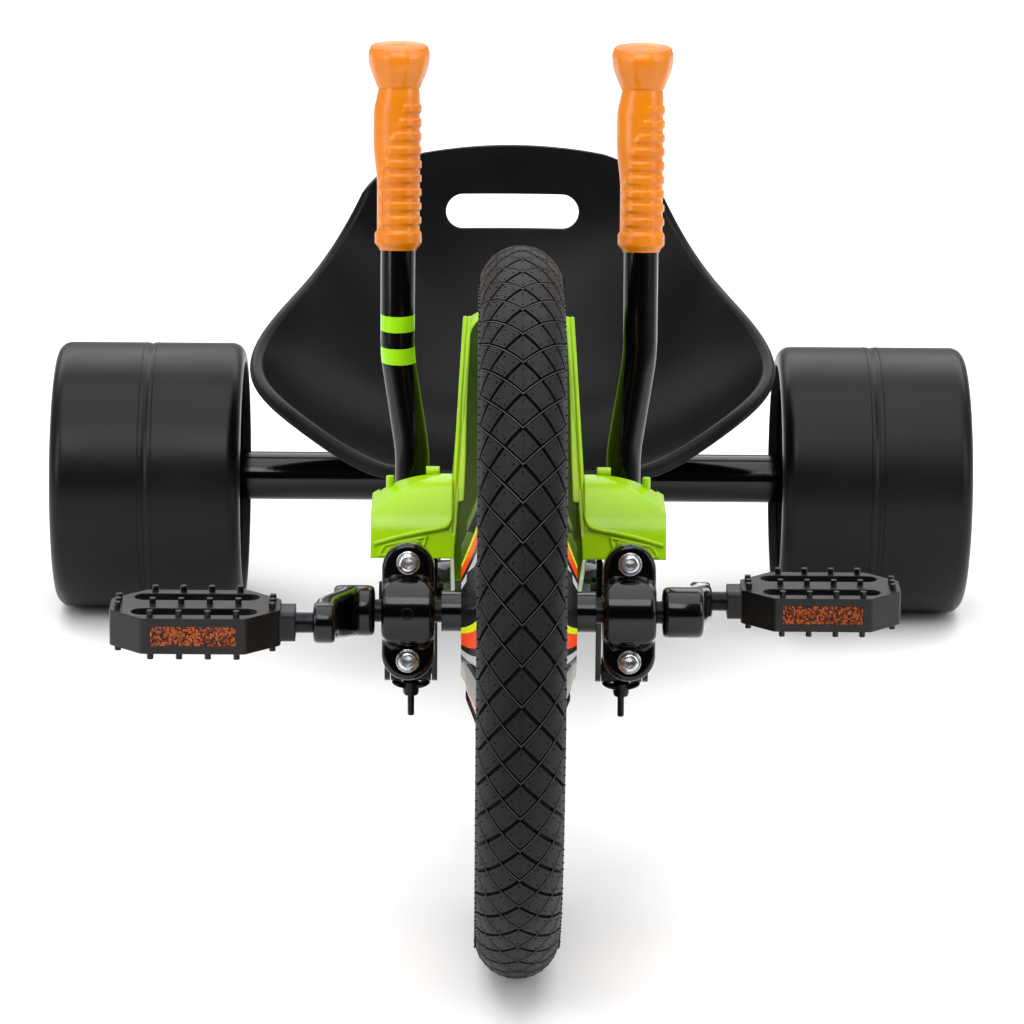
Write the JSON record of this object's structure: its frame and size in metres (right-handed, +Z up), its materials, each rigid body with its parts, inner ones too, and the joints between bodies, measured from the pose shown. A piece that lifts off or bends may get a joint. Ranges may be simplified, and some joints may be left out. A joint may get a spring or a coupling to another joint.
{
  "type": "lever-steered drift tricycle",
  "caption": "Low ride-on tricycle with a large pedalled front wheel, hand levers that steer the rear axle through push rods, a black bucket seat and wide smooth rear wheels.",
  "frame": {"origin": "on the floor, half way along and across the tricycle", "axes": "+X to the rider's left, the front wheel points to -Y, +Z up"},
  "size_m": [0.805, 1.2459, 0.6256],
  "materials": {
    "tyre_rubber": "dull moulded rubber",
    "rim_paint": "gloss black paint",
    "disc_plastic": "glossy moulded plastic with lime, red-orange and grey sectors",
    "frame_paint": "gloss black powder coat",
    "zinc_steel": "zinc plated",
    "dark_zinc": "black zinc",
    "lime_plastic": "glossy lime moulding",
    "seat_plastic": "fine satin grain",
    "wheel_plastic": "smooth satin moulding",
    "pedal_plastic": "satin moulding",
    "reflector_amber": "prismatic amber",
    "grip_orange": "glossy soft grip"
  },
  "bodies": {
    "frame": {"fork_loop": "frame_paint", "frame_spine": "frame_paint", "pivot_clevis": "frame_paint", "king_pin": "zinc_steel", "seat_shell": "seat_plastic", "seat_bracket": "frame_paint", "clamp_base_left": "frame_paint", "clamp_base_right": "frame_paint", "clamp_cap_left": "frame_paint", "clamp_cap_right": "frame_paint", "clamp_bolts_left": "zinc_steel", "clamp_bolts_right": "zinc_steel", "bearing_left": "zinc_steel", "bearing_right": "zinc_steel", "lever_pivot_pin_left": "zinc_steel", "lever_pivot_pin_right": "zinc_steel", "shroud_left": "lime_plastic", "shroud_right": "lime_plastic"},
    "front_wheel": {"front_tyre": "tyre_rubber", "front_rim": "rim_paint", "front_hub": "rim_paint", "crank_spindle": "zinc_steel", "wheel_disc_left": "disc_plastic", "wheel_disc_right": "disc_plastic", "crank_left": "frame_paint", "crank_right": "frame_paint", "pedal_spindle_left": "zinc_steel", "pedal_spindle_right": "zinc_steel"},
    "rear_axle": {"rear_beam": "frame_paint", "axle_stub_left": "zinc_steel", "axle_stub_right": "zinc_steel", "axle_nut_left": "zinc_steel", "axle_nut_right": "zinc_steel"},
    "pedal_left": {"pedal_body_left": "pedal_plastic", "pedal_reflectors_left": "reflector_amber"},
    "rear_roller_left": {"rear_wheel_left": "wheel_plastic"},
    "lever_left": {"lever_yoke_left": "frame_paint", "lever_tube_left": "frame_paint", "grip_left": "grip_orange"},
    "rod_left": {"steering_rod_left": "zinc_steel", "wing_bolt_left": "dark_zinc"},
    "pedal_right": {"pedal_body_right": "pedal_plastic", "pedal_reflectors_right": "reflector_amber"},
    "rear_roller_right": {"rear_wheel_right": "wheel_plastic"},
    "lever_right": {"lever_yoke_right": "frame_paint", "lever_tube_right": "frame_paint", "grip_right": "grip_orange"},
    "rod_right": {"steering_rod_right": "zinc_steel", "wing_bolt_right": "dark_zinc"}
  },
  "joints": [
    {"name": "front_wheel_spin", "type": "hinge", "parent": "frame", "child": "front_wheel", "pos_m": [0, -0.365, 0.258], "axis": [1, 0, 0], "continuous": true},
    {"name": "axle_steer", "type": "hinge", "parent": "frame", "child": "rear_axle", "pos_m": [0, 0.505, 0.118], "axis": [0, 0, 1], "range_deg": [-20, 20]},
    {"name": "pedal_spin_left", "type": "hinge", "parent": "front_wheel", "child": "pedal_left", "pos_m": [0.221, -0.25379, 0.23294], "axis": [1, 0, 0], "continuous": true},
    {"name": "rear_wheel_spin_left", "type": "hinge", "parent": "rear_axle", "child": "rear_roller_left", "pos_m": [0.3195, 0.505, 0.118], "axis": [1, 0, 0], "continuous": true},
    {"name": "lever_swing_left", "type": "hinge", "parent": "frame", "child": "lever_left", "pos_m": [0.078, -0.215, 0.22557], "axis": [1, 0, 0], "range_deg": [-15.74, 15.74]},
    {"name": "rod_swing_left", "type": "hinge", "parent": "lever_left", "child": "rod_left", "pos_m": [0.078, -0.215, 0.16757], "axis": [1, 0, 0], "range_deg": [-15.74, 15.74]},
    {"name": "pedal_spin_right", "type": "hinge", "parent": "front_wheel", "child": "pedal_right", "pos_m": [-0.221, -0.47621, 0.28306], "axis": [1, 0, 0], "continuous": true},
    {"name": "rear_wheel_spin_right", "type": "hinge", "parent": "rear_axle", "child": "rear_roller_right", "pos_m": [-0.3195, 0.505, 0.118], "axis": [1, 0, 0], "continuous": true},
    {"name": "lever_swing_right", "type": "hinge", "parent": "frame", "child": "lever_right", "pos_m": [-0.078, -0.215, 0.22557], "axis": [1, 0, 0], "range_deg": [-15.74, 15.74]},
    {"name": "rod_swing_right", "type": "hinge", "parent": "lever_right", "child": "rod_right", "pos_m": [-0.078, -0.215, 0.16757], "axis": [1, 0, 0], "range_deg": [-15.74, 15.74]}
  ],
  "couplings": [
    {"joint": "lever_swing_left", "follows": "axle_steer", "ratio": 0.787},
    {"joint": "rod_swing_left", "follows": "axle_steer", "ratio": -0.787},
    {"joint": "lever_swing_right", "follows": "axle_steer", "ratio": -0.787},
    {"joint": "rod_swing_right", "follows": "axle_steer", "ratio": 0.787}
  ]
}
